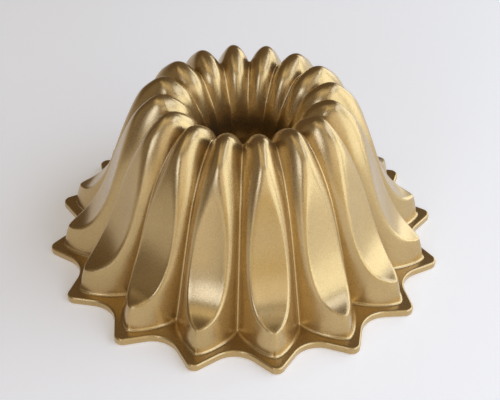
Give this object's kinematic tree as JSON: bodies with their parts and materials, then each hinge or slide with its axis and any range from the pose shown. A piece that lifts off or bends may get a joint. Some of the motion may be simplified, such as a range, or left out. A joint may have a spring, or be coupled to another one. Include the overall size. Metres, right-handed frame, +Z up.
{
  "type": "fluted ring cake pan",
  "caption": "Cast ring cake pan with scooped, pointed petals, a star-shaped rim and an open centre tube, resting crown up.",
  "frame": {"origin": "on the surface that the rim rests on, under the centre of the pan", "axes": "+Z up along the centre tube's axis, from the open rim towards the crown; petal_01 faces -Y, and the petals are numbered anticlockwise from above"},
  "size_m": [0.21, 0.21, 0.0942],
  "materials": {
    "petal_enamel": "satin antique-gold metallic enamel with fine flakes over cast aluminium",
    "rim_enamel": "satin antique-gold metallic enamel over cast aluminium",
    "tube_enamel": "satin antique-gold metallic enamel over cast aluminium, darker with depth"
  },
  "bodies": {
    "root": {"rim_flange": "rim_enamel", "centre_tube": "tube_enamel", "petal_01": "petal_enamel", "petal_02": "petal_enamel", "petal_03": "petal_enamel", "petal_04": "petal_enamel", "petal_05": "petal_enamel", "petal_06": "petal_enamel", "petal_07": "petal_enamel", "petal_08": "petal_enamel", "petal_09": "petal_enamel", "petal_10": "petal_enamel", "petal_11": "petal_enamel", "petal_12": "petal_enamel", "petal_13": "petal_enamel", "petal_14": "petal_enamel", "petal_15": "petal_enamel", "petal_16": "petal_enamel"}
  },
  "joints": []
}
